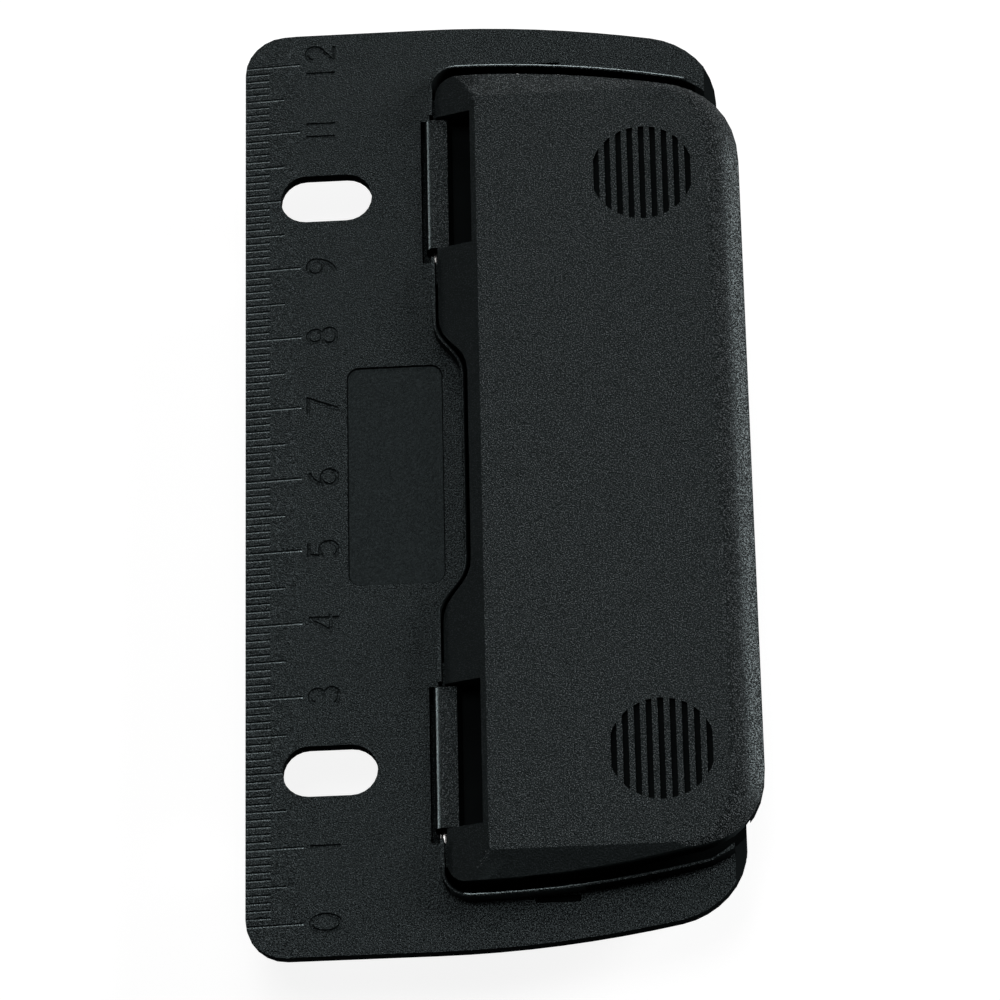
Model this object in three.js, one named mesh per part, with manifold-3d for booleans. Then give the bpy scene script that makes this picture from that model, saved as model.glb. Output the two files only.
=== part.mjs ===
// A flat pocket hole punch for two filing holes, with a ruler along one edge and slots for ring binders.
// The lever turns on two steel hinge pins and pushes two sprung punch pins through the paper, which goes
// in from the lever's free edge, between the ruler plate's well and the die body. The chips fall into a
// tray that slides out of the die body.
//
// Millimetres. x runs from the ruler's edge to the lever's free edge, y along the ruler from its middle,
// z up from the table. The finished group is centred on x.

import * as THREE from 'three';
import { mergeVertices } from 'three/addons/utils/BufferGeometryUtils.js';
import Module from 'manifold-3d';

const wasm = await Module();
wasm.setup();

// Heights, from the table up
const trayFloor = 0.8;
const chipHeight = 2.4;
const dieSeatFloor = 0.6;
const dieThickness = 1.0;
const paperGap = 1.1;
const wellFloor = 1.2;
const wellDepth = 2.5;
const lipHeight = 1.8;
const leverRise = 3.2;

const legBottom = trayFloor + chipHeight;
const dieTop = legBottom + dieSeatFloor + dieThickness;
const paperTop = dieTop + paperGap;
const floorTop = paperTop + wellFloor;
const plateTop = floorTop + wellDepth;
const leverTop = plateTop + leverRise;

// Places across the ruler: the hinge, the paper stop, the punch pins and the two free edges
const hingeX = 24.9;
const stopOffset = 15.4;
const paperMargin = 12;
const leverOverhang = 12.6;
const frontGap = 2.6;
const stopX = hingeX + stopOffset;
const punchX = stopX + paperMargin;
const leverRight = punchX + leverOverhang;
const plateWidth = leverRight - frontGap;

// Places along the ruler, from its middle: the filing holes and the plate's ends
const holeSpacing = 80;
const plateEndMargin = 24.3;
const plateLength = holeSpacing + 2 * plateEndMargin;
const plateEnd = plateLength / 2;

// Punch pins
const punchRadius = 2.8;
const borePlay = 0.08;
const punchTravel = 2.0;
const punchRest = 0.2;
const punchHollow = 0.7;
const headReach = 0.2;
const headHeight = 0.8;
const headChamfer = 2.0;
const headRim = 0.35;
const headGap = 0.3;

// Ruler plate
const plateThickness = 1.8;
const rulerCorner = 5.2;
const plateBowStartShare = 0.385;
const plateBowEndShare = 0.867;
const plateBowDrop = 2.9;
const plateCornerLength = 9.6;
const rulerBevelWidth = 7;
const rulerBevelDrop = 0.6;
const edgeRoundWidth = 1.5;
const edgeRoundDrop = 0.9;
const slotLeft = 4.7;
const slotLength = 12.0;
const slotWidth = 6.7;
const labelMargin = 2.5;
const labelWidth = 12.4;
const labelLength = 30.5;
const labelDepth = 0.25;
const labelCorner = 1.6;

// Lip and well round the lever
const lipThickness = 0.45;
const wellWall = 1.0;
const leadInChamfer = 0.5;
const frontWallThickness = 1.0;
const frontWallHeight = 0.4;
const lipBefore = 0.4;
const lipStep = 3.6;
const lipNotchOuter = 18.9;
const lipNotchInner = 14.6;
const notchRound = 1.9;
const lipCornerRadius = 3.6;
const lipEndMargin = 6.4;
const lipBow = 3.0;
const lipOverhang = 0.9;
const lipFarShare = 0.773;
const lipCornerStartShare = 0.725;
const lipCornerShare = 0.52;
const lip = {
  left: hingeX - lipBefore,
  notch: hingeX - lipBefore + lipStep,
  notchOuter: lipNotchOuter,
  notchInner: lipNotchInner,
  cornerRadius: lipCornerRadius,
  nearEnd: plateEnd - lipEndMargin,
  farEnd: plateEnd - lipEndMargin - lipBow,
  right: leverRight + lipOverhang,
  farShare: lipFarShare,
  cornerStartShare: lipCornerStartShare,
  cornerShare: lipCornerShare,
};
const labelLeft = lip.notch - labelMargin - labelWidth;

// Lever: its outline at the knee, where the skirt meets the flank, and at the crest of the flank
const leverWall = 1.3;
const leverRoof = 1.5;
const leverFloorGap = 0.5;
const frontSkirtGap = 0.4;
const frontSkirtPlay = 0.5;
const kneeBeyondHinge = 0.4;
const kneeStep = 3.7;
const kneeNotchGap = 0.4;
const kneeCornerRadius = 2.6;
const kneeEndGap = 1.9;
const kneeBow = 2.9;
const kneeFarShare = 0.745;
const kneeCornerStartShare = 0.75;
const kneeCornerShare = 0.62;
const leverKnee = {
  left: hingeX + kneeBeyondHinge,
  notch: hingeX + kneeBeyondHinge + kneeStep,
  notchOuter: lipNotchOuter + kneeNotchGap,
  notchInner: lipNotchInner + kneeNotchGap,
  cornerRadius: kneeCornerRadius,
  nearEnd: lip.nearEnd - kneeEndGap,
  farEnd: lip.nearEnd - kneeEndGap - kneeBow,
  right: leverRight,
  farShare: kneeFarShare,
  cornerStartShare: kneeCornerStartShare,
  cornerShare: kneeCornerShare,
};
const hingeFlankWidth = 5.3;
const hingeFlankDrop = 1.9;
const endFlankWidth = 3.6;
const endFlankDrop = 0.75;
const frontRoundWidth = 4.6;
const frontRoundDrop = 2.2;
const crestCornerRadius = 0.6;
const crestFarShare = 0.78;
const crestCornerStartShare = 0.815;
const crestCornerShare = 0.6;
const leverCrest = {
  left: leverKnee.left + hingeFlankWidth,
  notch: leverKnee.left + hingeFlankWidth,
  notchOuter: leverKnee.notchOuter,
  notchInner: leverKnee.notchInner,
  cornerRadius: crestCornerRadius,
  nearEnd: leverKnee.nearEnd - endFlankWidth,
  farEnd: leverKnee.nearEnd - endFlankWidth,
  right: leverRight - frontRoundWidth,
  farShare: crestFarShare,
  cornerStartShare: crestCornerStartShare,
  cornerShare: crestCornerShare,
};
const ribWidth = 0.9;
const longRibOffset = 8.8;
const longRibEndGap = 2.0;
const longRibDrop = 1.4;
const crossRibDrop = 1.0;
const crossRibSpacing = 26;

// Thumb pads on the lever, above the punch pins
const padRadius = 6.7;
const padGrooves = 9;
const padPitch = 1.49;
const padGrooveWidth = 0.75;
const padGrooveDepth = 0.5;

// Hinge: knuckle, pin, window and seats. Each hinge stands beside one punch pin.
const hingeDepth = 1.2;
const hingePinRadius = 0.6;
const hingePinPlay = 0.08;
const hingePinReach = 2.6;
const knuckleRadius = 1.1;
const knuckleRise = 1.0;
const knuckleRound = 1.1;
const knuckleTopReach = 1.9;
const knuckleLow = 8.5;
const knuckleHigh = 10.2;
const armTopDepth = 0.9;
const armBottomDepth = 1.95;
const pocketReach = 5.0;
const pocketWall = 1.2;
const pocketPlay = 0.25;
const windowBefore = 1.65;
const windowBeyond = 3.5;
const windowLow = 10.2;
const windowHigh = 10.6;
const seatLength = 3.2;
const seatBefore = 1.4;
const seatBeyond = 0.95;
const seatDrop = 1.2;
const seatPlay = 0.2;
const seatTopPlay = 0.3;
const saddleWidth = 1.1;
const saddleInset = 0.3;
const hingeZ = plateTop - hingeDepth;
const windowLeft = hingeX - windowBefore;
const windowRight = hingeX + windowBeyond;
const knuckleTopEnd = hingeX + knuckleTopReach;
const pocketEnd = hingeX + pocketReach;
const pressAngle = Math.atan(punchTravel / (punchX - hingeX));

// Catches on the lever's ends, under the lip
const catchOffset = 11.4;
const catchWidth = 5.1;
const catchTopDepth = 0.5;
const catchThickness = 0.5;
const catchHold = 0.3;
const catchLegThickness = 1.2;
const catchLegInset = 0.6;
const catchWindowPlay = 0.3;
const catchWindowBeyond = 0.6;
const catchWindowBefore = 0.3;
const catchWindowTop = 0.2;
const catchLeft = hingeX + catchOffset;
const catchReach = lip.nearEnd + catchHold;
const catchLegOuter = leverKnee.nearEnd - catchLegInset;
const catchWindowOuter = lip.nearEnd + catchWindowBeyond;
const catchWindowInner = lip.nearEnd - catchWindowBefore;

// Punch guides and return springs
const guideBore = punchRadius + borePlay;
const guideTubeWall = 0.62;
const guideTubeHeight = 1.0;
const guideSpigotStep = 0.15;
const guideFlangeReach = 1.05;
const guideFlangeHeight = 0.5;
const guideSeatPlay = 0.1;
const guideTubeRadius = guideBore + guideTubeWall;
const guideSpigotRadius = guideTubeRadius + guideSpigotStep;
const guideFlangeRadius = guideSpigotRadius + guideFlangeReach;
const springWire = 0.4;
const springPlay = 0.3;
const springRadius = guideTubeRadius + springPlay + springWire / 2;
const springTurns = 2.75;
const springStepsPerTurn = 16;
const springSides = 6;
const springEndGap = 0.04;
const headRadius = springRadius + springWire / 2 + headReach;

// Die body under the plate
const bodyBefore = 2.9;
const bodyInset = 1.1;
const webEndMargin = 9.3;
const webCorner = 3;
const legEndReach = 11.5;
const legCorner = 4;
const bodyWall = 1.4;
const bodyLeft = hingeX - bodyBefore;
const bodyRight = plateWidth - bodyInset;
const webEnd = plateEnd - webEndMargin;
const legEnd = holeSpacing / 2 + legEndReach;
const channelLeft = stopX + bodyWall;
const coreWall = 1.4;
const coreRoof = 1.3;
const coreColumns = 2;
const coreRows = 3;

// Die plates and their rivets
const dieWidth = 13;
const dieLength = 16;
const diePlay = 0.15;
const dieBore = punchRadius + borePlay;
const chipHoleRelief = 0.62;
const chipHoleRadius = dieBore + chipHoleRelief;
const rivetEdge = 1.8;
const rivetOffset = dieLength / 2 - rivetEdge;
const rivetHeadRadius = 1.45;
const rivetShankRadius = 0.8;
const rivetHeadHeight = 0.6;
const rivetPlay = 0.1;

// Chip tray
const trayPlay = 0.3;
const trayWall = 1.0;
const trayWallTop = 2.9;
const railBottom = 1.3;
const railHeight = 0.7;
const railReach = 0.6;
const railPlay = 0.2;
const railSlotDepth = 0.9;
const trayFrontThickness = 1.5;
const trayFrontHeight = 4.3;
const gripWidth = 12;
const gripDepth = 0.7;
const gripHeight = 2.0;

// Screws that hold the die body to the plate
const screwInset = 3.9;
const screwEndInset = 6.0;
const screwInnerGap = 18;
const screwX = stopX - screwInset;
const screwOuterY = webEnd - screwEndInset;
const screwInnerY = holeSpacing / 2 - screwInnerGap;
const screwHeadRadius = 1.9;
const screwHeadHeight = 1.3;
const screwShankRadius = 0.95;
const screwHeadSink = 1.2;
const screwTipGap = 0.4;
const screwPlay = 0.12;
const screwSlotWidth = 0.5;
const screwSlotDepth = 0.5;
const bossRadius = 2.4;
const bossTop = 0.5;

// Facets and cutting
const overrun = 1;
const weld = 1e-4;
const roundFacets = 44;
const smallFacets = 20;
const cornerSteps = 6;
const notchSteps = 3;
const bowSteps = 8;
const flankSteps = 5;
const faceShare = 0.1;

const plasticLook = { color: 0x141716, roughness: 0.62, metalness: 0 };
const leverLook = { color: 0x151817, roughness: 0.58, metalness: 0 };
const steelLook = { color: 0xb4b7ba, roughness: 0.28, metalness: 1 };
const springLook = { color: 0x9a9da0, roughness: 0.35, metalness: 1 };

const part = new THREE.Group();
part.position.x = -leverRight / 2;
const punchPlaces = [['lower', -holeSpacing / 2], ['upper', holeSpacing / 2]];
const ends = [-1, 1];

// Solids from three.js geometries

function solid(geometry) {
  const bare = geometry.index ? geometry.toNonIndexed() : geometry.clone();
  bare.deleteAttribute('normal');
  bare.deleteAttribute('uv');
  const welded = mergeVertices(bare, weld);
  return new wasm.Manifold(new wasm.Mesh({
    numProp: 3,
    vertProperties: new Float32Array(welded.attributes.position.array),
    triVerts: new Uint32Array(welded.index.array),
  }));
}

function geometryOf(manifold) {
  const mesh = manifold.getMesh();
  const geometry = new THREE.BufferGeometry();
  geometry.setAttribute('position', new THREE.BufferAttribute(new Float32Array(mesh.vertProperties), 3));
  geometry.setIndex(new THREE.BufferAttribute(new Uint32Array(mesh.triVerts), 1));
  geometry.computeVertexNormals();
  return geometry;
}

function add(name, manifold, look) {
  const mesh = new THREE.Mesh(geometryOf(manifold), new THREE.MeshStandardMaterial(look));
  mesh.name = name;
  part.add(mesh);
}

function shapeOf(points) {
  return new THREE.Shape(points.map(([a, b]) => new THREE.Vector2(a, b)));
}

// An outline in the plan, given as [x, y], between two heights
function prism(points, bottom, top) {
  const geometry = new THREE.ExtrudeGeometry(shapeOf(points), { depth: top - bottom, bevelEnabled: false });
  return solid(geometry.translate(0, 0, bottom));
}

// A profile seen from the ruler's end, given as [x, z], between two places along the ruler
function bar(points, from, to) {
  const geometry = new THREE.ExtrudeGeometry(shapeOf(points), { depth: to - from, bevelEnabled: false });
  return solid(geometry.rotateX(Math.PI / 2).translate(0, to, 0));
}

function block(left, right, from, to, bottom, top) {
  return prism([[left, from], [right, from], [right, to], [left, to]], bottom, top);
}

function disc(radius, x, y, bottom, top, facets = roundFacets) {
  const geometry = new THREE.CylinderGeometry(radius, radius, top - bottom, facets);
  return solid(geometry.rotateX(Math.PI / 2).translate(x, y, (bottom + top) / 2));
}

// A turned piece: its half profile as [radius, z], from the axis round and back to the axis
function turned(profile, x, y, facets = roundFacets) {
  const points = profile.map(([radius, z]) => new THREE.Vector2(radius, z));
  return solid(new THREE.LatheGeometry(points, facets).rotateX(Math.PI / 2).translate(x, y, 0));
}

// A skin over rings of [x, y, z] with as many points each, the lowest first, closed at both ends
function loft(rings) {
  const count = rings[0].length;
  const positions = rings.flat(2);
  const index = [];
  for (let ring = 0; ring + 1 < rings.length; ring += 1) {
    for (let i = 0; i < count; i += 1) {
      const a = ring * count + i;
      const b = ring * count + ((i + 1) % count);
      index.push(a, b, b + count, a, b + count, a + count);
    }
  }
  const cap = (ring) => THREE.ShapeUtils.triangulateShape(
    rings[ring].map(([x, y]) => new THREE.Vector2(x, y)), []);
  const last = (rings.length - 1) * count;
  for (const [a, b, c] of cap(0)) index.push(a, c, b);
  for (const [a, b, c] of cap(rings.length - 1)) index.push(last + a, last + b, last + c);
  const geometry = new THREE.BufferGeometry();
  geometry.setAttribute('position', new THREE.Float32BufferAttribute(positions, 3));
  geometry.setIndex(index);
  return solid(geometry);
}

const joined = (solids) => solids.reduce((all, one) => all.add(one));
const cutBy = (whole, cuts) => cuts.reduce((rest, cut) => rest.subtract(cut), whole);

// Outlines

function curvePoints(curve, steps) {
  return curve.getPoints(steps).map((point) => [point.x, point.y]);
}

const at = (x, y) => new THREE.Vector2(x, y);

// A quarter turn of the given radius, counter-clockwise
function quarter(centreX, centreY, radius, startAngle, steps = cornerSteps) {
  return curvePoints(new THREE.EllipseCurve(centreX, centreY, radius, radius, startAngle,
    startAngle + Math.PI / 2), steps);
}

function roundedBox(left, right, halfLength, radius) {
  return [
    ...quarter(right - radius, halfLength - radius, radius, 0),
    ...quarter(left + radius, halfLength - radius, radius, Math.PI / 2),
    ...quarter(left + radius, radius - halfLength, radius, Math.PI),
    ...quarter(right - radius, radius - halfLength, radius, 3 * Math.PI / 2),
  ];
}

// Both halves of an outline from the half with y above zero, which runs from its right to its left
function mirrored(half) {
  return [...half, ...half.toReversed().map(([x, y]) => [x, -y])];
}

// A corner rounded off over the same length on both its sides
function roundedCorner(before, corner, after, reach) {
  const [cornerX, cornerY] = corner;
  const along = ([x, y]) => {
    const share = reach / Math.hypot(x - cornerX, y - cornerY);
    return at(cornerX + share * (x - cornerX), cornerY + share * (y - cornerY));
  };
  return curvePoints(new THREE.QuadraticBezierCurve(along(before), at(cornerX, cornerY), along(after)),
    notchSteps);
}

const flapFarX = (flap) => flap.left + flap.farShare * (flap.right - flap.left);

// The outline that the lever, the lip and the well share: a bowed end, a swept corner at the free edge
// and a step in the hinge side
function flapOutline(flap) {
  const { left, right, farEnd, nearEnd, cornerRadius, cornerShare } = flap;
  const farX = flapFarX(flap);
  const outer = [left, flap.notchOuter];
  const inner = [flap.notch, flap.notchInner];
  const cornerStart = flap.cornerStartShare * nearEnd;
  const nearX = left + cornerRadius;
  const slope = (nearEnd - farEnd) / (farX - nearX);
  const reach = cornerShare * (right - farX);
  const corner = new THREE.CubicBezierCurve(
    at(right, cornerStart),
    at(right, cornerStart + cornerShare * (farEnd - cornerStart)),
    at(farX + reach, farEnd - slope * reach),
    at(farX, farEnd));
  const middleX = (farX + nearX) / 2;
  const end = new THREE.QuadraticBezierCurve(
    at(farX, farEnd), at(middleX, nearEnd), at(nearX, nearEnd));
  return mirrored([
    ...curvePoints(corner, bowSteps),
    ...curvePoints(end, bowSteps).slice(1),
    ...quarter(nearX, nearEnd - cornerRadius, cornerRadius, Math.PI / 2).slice(1),
    ...roundedCorner([left, nearEnd], outer, inner, notchRound),
    ...roundedCorner(outer, inner, [flap.notch, 0], notchRound),
  ]);
}

// The same outline drawn in by a distance
function inset(flap, distance) {
  const shoulder = distance * Math.tan(Math.PI / 8);
  return {
    ...flap,
    left: flap.left + distance,
    notch: flap.notch + distance,
    notchOuter: flap.notchOuter + shoulder,
    notchInner: flap.notchInner + shoulder,
    cornerRadius: Math.max(flap.cornerRadius - distance, weld),
    nearEnd: flap.nearEnd - distance,
    farEnd: flap.farEnd - distance,
    right: flap.right - distance,
  };
}

function plateOutline() {
  const bowEnd = plateEnd - plateBowDrop;
  const plateBowStart = plateBowStartShare * plateWidth;
  const plateBowEnd = plateBowEndShare * plateWidth;
  const bow = new THREE.QuadraticBezierCurve(at(plateBowEnd, bowEnd),
    at((plateBowStart + plateBowEnd) / 2, plateEnd), at(plateBowStart, plateEnd));
  const slope = 2 * plateBowDrop / (plateBowEnd - plateBowStart);
  const reach = (plateWidth - plateBowEnd) * lip.cornerShare;
  const corner = new THREE.CubicBezierCurve(
    at(plateWidth, bowEnd - plateCornerLength),
    at(plateWidth, bowEnd - plateCornerLength * (1 - lip.cornerShare)),
    at(plateBowEnd + reach, bowEnd - slope * reach),
    at(plateBowEnd, bowEnd));
  return mirrored([
    ...curvePoints(corner, bowSteps),
    ...curvePoints(bow, bowSteps).slice(1),
    ...quarter(rulerCorner, plateEnd - rulerCorner, rulerCorner, Math.PI / 2),
  ]);
}

// Ruler plate, with the well that the lever sinks into

function slotCut(y) {
  const radius = slotWidth / 2;
  const left = slotLeft + radius;
  const right = slotLeft + slotLength - radius;
  return prism([
    ...quarter(right, y, radius, -Math.PI / 2),
    ...quarter(right, y, radius, 0).slice(1),
    ...quarter(left, y, radius, Math.PI / 2),
    ...quarter(left, y, radius, Math.PI).slice(1),
  ], paperTop, plateTop + overrun);
}

function labelCut() {
  return prism(roundedBox(labelLeft, labelLeft + labelWidth, labelLength / 2, labelCorner),
    plateTop - labelDepth, plateTop + overrun);
}

// The ruler's edge slopes down to the left, and the free edge is eased down to the right
function edgeCuts() {
  const end = plateEnd + overrun;
  const rulerSlope = rulerBevelDrop / rulerBevelWidth;
  const easeSlope = edgeRoundDrop / edgeRoundWidth;
  const ruler = [
    [rulerBevelWidth, plateTop],
    [rulerBevelWidth, plateTop + overrun],
    [-overrun, plateTop + overrun],
    [-overrun, plateTop - rulerBevelDrop - overrun * rulerSlope],
  ];
  const ease = [
    [plateWidth - edgeRoundWidth, plateTop],
    [plateWidth + overrun, plateTop - edgeRoundDrop - overrun * easeSlope],
    [plateWidth + overrun, plateTop + lipHeight + overrun],
    [plateWidth - edgeRoundWidth, plateTop + lipHeight + overrun],
  ];
  return [bar(ruler, -end, end), bar(ease, -end, end)];
}

function leadInCut() {
  const end = plateEnd + overrun;
  return bar([
    [plateWidth - leadInChamfer - overrun, paperTop - overrun],
    [plateWidth + overrun, paperTop - overrun],
    [plateWidth + overrun, paperTop + leadInChamfer + overrun],
  ], -end, end);
}

// The window beside a knuckle runs right through, so that the knuckle can turn in it
function windowCut(y) {
  return block(windowLeft, windowRight, y - windowLow, y + windowHigh,
    paperTop - overrun, plateTop + lipHeight + overrun);
}

function seatRanges(y) {
  return [[y - windowLow - seatLength, y - windowLow], [y + windowHigh, y + windowHigh + seatLength]];
}

// A groove for the hinge pin, open below, with a round top
function hingeGroove(from, to) {
  const radius = hingePinRadius + hingePinPlay;
  const top = curvePoints(new THREE.EllipseCurve(hingeX, hingeZ, radius, radius, 0, Math.PI),
    smallFacets / 2);
  return bar([
    [hingeX - radius, paperTop - overrun],
    [hingeX + radius, paperTop - overrun],
    ...top,
  ], from, to);
}

function catchWindowCuts(end) {
  const left = catchLeft - catchWindowPlay;
  const right = catchLeft + catchWidth + catchWindowPlay;
  const span = (inner, outer) => (end > 0 ? [inner, outer] : [-outer, -inner]);
  const wellEnd = lip.farEnd;
  const deep = block(left, right, ...span(wellEnd, catchWindowOuter), floorTop, plateTop - catchWindowTop);
  const open = block(left, right, ...span(catchWindowInner, catchWindowOuter), floorTop, plateTop + overrun);
  return [deep, open];
}

function guideSeatCuts(y) {
  const flange = guideFlangeRadius + guideSeatPlay;
  const spigot = guideSpigotRadius + guideSeatPlay;
  const seat = floorTop - guideFlangeHeight - guideSeatDepth();
  return [
    disc(flange, punchX, y, seat, floorTop + overrun),
    disc(spigot, punchX, y, paperTop - overrun, seat + overrun),
  ];
}

// The guide's flange lies a little below the well's floor
function guideSeatDepth() {
  return (wellFloor - guideFlangeHeight) / 3;
}

const screwPlaces = ends.flatMap((end) => [[screwX, end * screwOuterY], [screwX, end * screwInnerY]]);

function rulerPlate() {
  const outline = plateOutline();
  const column = prism(outline, paperTop, plateTop + lipHeight);
  const plate = prism(outline, plateTop - plateThickness, plateTop);
  const raised = prism(flapOutline(lip), paperTop, plateTop + lipHeight);
  const tub = prism(flapOutline(inset(lip, lipThickness - wellWall)), paperTop, plateTop);
  const well = prism(flapOutline(inset(lip, lipThickness)), floorTop, plateTop + lipHeight + overrun);
  const seats = punchPlaces.flatMap(([, y]) => seatRanges(y).map(([from, to]) => block(
    hingeX - seatBefore, hingeX + seatBeyond, from, to,
    plateTop - plateThickness - seatDrop, plateTop)));
  const bosses = screwPlaces.map(([x, y]) => disc(bossRadius, x, y, paperTop, plateTop + bossTop));
  const frontWallEnd = lip.cornerStartShare * lip.nearEnd;
  const frontWall = block(plateWidth - frontWallThickness, plateWidth, -frontWallEnd, frontWallEnd,
    paperTop, floorTop + frontWallHeight);
  const pilots = screwPlaces.map(([x, y]) => disc(screwShankRadius + screwPlay, x, y,
    paperTop - overrun, plateTop + bossTop + overrun, smallFacets));
  const rim = raised.add(tub).intersect(column);
  const hollow = cutBy(plate.add(rim), [well, ...edgeCuts(), labelCut()]);
  return cutBy(joined([hollow, frontWall, ...seats, ...bosses]), [
    leadInCut(),
    ...pilots,
    ...punchPlaces.flatMap(([, y]) => [slotCut(y), windowCut(y), ...guideSeatCuts(y)]),
    ...punchPlaces.flatMap(([, y]) => seatRanges(y).map(([from, to]) => hingeGroove(
      from - (from < y - windowLow ? -saddleInset : overrun),
      to + (to > y + windowHigh ? -saddleInset : overrun)))),
    ...ends.flatMap(catchWindowCuts),
  ]);
}

// Lever

const skirtZ = (x) => floorTop + leverFloorGap + Math.tan(pressAngle) * (x - hingeX);

// How far the lever's top lies below its face at a place outside the crest: flat flanks on the hinge side
// and at the ends, and a round along the free edge and its corners
function topDrop([x, y], [crestX, crestY], isRound) {
  const hinge = (leverCrest.left - x) * hingeFlankDrop / hingeFlankWidth;
  const end = (Math.abs(y) - leverCrest.nearEnd) * endFlankDrop / endFlankWidth;
  const beyond = Math.hypot(x - crestX, y - crestY) / frontRoundWidth;
  return Math.max(0, hinge, end, isRound ? frontRoundDrop * beyond ** 2 : 0);
}

// A ring at a share of the way from a knee's outline to a crest's, at a depth below the lever's top. Past
// the crest it lies on the face.
function leverRing(knee, crest, share, depth) {
  const edge = flapOutline(leverCrest);
  const crestOutline = flapOutline(crest);
  return flapOutline(knee).map(([kneeX, kneeY], i) => {
    const [crestX, crestY] = crestOutline[i];
    const x = kneeX + share * (crestX - kneeX);
    const y = kneeY + share * (crestY - kneeY);
    const drop = share < 1 ? topDrop([x, y], edge[i], kneeX > flapFarX(knee)) : 0;
    return [x, y, leverTop - depth - drop];
  });
}

function leverSkin() {
  const rings = [];
  for (let step = 0; step <= flankSteps; step += 1) {
    rings.push(leverRing(leverKnee, leverCrest, step / flankSteps, 0));
  }
  return loft([
    flapOutline(leverKnee).map(([x, y]) => [x, y, skirtZ(x)]),
    ...rings,
    leverRing(leverKnee, leverCrest, 1 + faceShare, 0),
  ]);
}

function leverHollow() {
  const knee = inset(leverKnee, leverWall);
  const crest = { ...inset(leverCrest, leverWall), cornerRadius: crestCornerRadius };
  return loft([
    flapOutline(knee).map(([x, y]) => [x, y, paperTop]),
    leverRing(knee, crest, 0, leverRoof),
    leverRing(knee, crest, 1 + faceShare, leverRoof),
  ]);
}

function leverRibs() {
  const roof = leverTop - leverRoof;
  const left = leverKnee.notch + leverWall;
  const right = plateWidth - frontWallThickness - frontSkirtPlay;
  const longRibX = punchX - longRibOffset;
  const longRibEnd = leverCrest.nearEnd - longRibEndGap;
  const long = block(longRibX, longRibX + ribWidth, -longRibEnd, longRibEnd, roof - longRibDrop, leverTop);
  const across = [-1, 0, 1].map((place) => {
    const middle = place * crossRibSpacing;
    return block(left, right, middle - ribWidth / 2, middle + ribWidth / 2,
      roof - crossRibDrop, leverTop);
  });
  return joined([long, ...across]);
}

// Knuckle and arm, seen along the hinge: round below the pin, with a flat top
function knuckleProfile() {
  const low = curvePoints(new THREE.EllipseCurve(hingeX, hingeZ, knuckleRadius, knuckleRadius,
    Math.PI, 3 * Math.PI / 2), cornerSteps);
  const left = hingeX - knuckleRadius;
  const top = plateTop + knuckleRise;
  const shoulder = curvePoints(new THREE.EllipseCurve(left + knuckleRound, top - knuckleRound,
    knuckleRound, knuckleRound, Math.PI / 2, Math.PI), cornerSteps);
  const armTop = plateTop - armTopDepth;
  const armBottom = plateTop - armBottomDepth;
  return [
    ...low,
    [hingeX + knuckleRadius, armBottom],
    [pocketEnd + pocketWall, armBottom],
    [pocketEnd + pocketWall, armTop],
    [knuckleTopEnd + knuckleRound / 2, armTop],
    [knuckleTopEnd, top],
    ...shoulder,
  ];
}

function padCuts(y) {
  const circle = disc(padRadius, punchX, y, leverTop - padGrooveDepth, leverTop + overrun);
  const grooves = [];
  for (let i = 0; i < padGrooves; i += 1) {
    const middle = punchX + (i - (padGrooves - 1) / 2) * padPitch;
    grooves.push(block(middle - padGrooveWidth / 2, middle + padGrooveWidth / 2,
      y - padRadius, y + padRadius, leverTop - padGrooveDepth - overrun, leverTop + overrun));
  }
  return joined(grooves).intersect(circle);
}

function catchHook(end) {
  const right = catchLeft + catchWidth;
  const bottom = plateTop - catchTopDepth - catchThickness;
  const span = (inner, outer) => (end > 0 ? [inner, outer] : [-outer, -inner]);
  const leg = block(catchLeft, right, ...span(catchLegOuter - catchLegThickness, catchLegOuter),
    bottom, plateTop + catchTopDepth);
  const nose = block(catchLeft, right, ...span(catchLegOuter - catchLegThickness, catchReach),
    bottom, plateTop - catchTopDepth);
  return leg.add(nose);
}

// Room in the skirt for the seats of the hinge pins
function seatNotches(y) {
  return seatRanges(y).map(([from, to]) => block(
    leverKnee.left - overrun, hingeX + seatBeyond + seatPlay, from - seatPlay, to + seatPlay,
    paperTop, plateTop + seatTopPlay));
}

// The skirt at the free edge hangs lower, in front of the plate's edge
function frontSkirt() {
  const bottom = paperTop + frontSkirtGap + Math.tan(pressAngle) * (leverKnee.right - hingeX);
  const outer = prism(flapOutline(leverKnee), bottom, leverTop - frontRoundDrop);
  const inner = prism(flapOutline(inset(leverKnee, leverWall)), bottom - overrun, leverTop);
  const front = block(plateWidth + frontSkirtPlay, leverKnee.right + overrun, -lip.nearEnd, lip.nearEnd,
    bottom - overrun, leverTop);
  return outer.subtract(inner).intersect(front);
}

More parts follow.
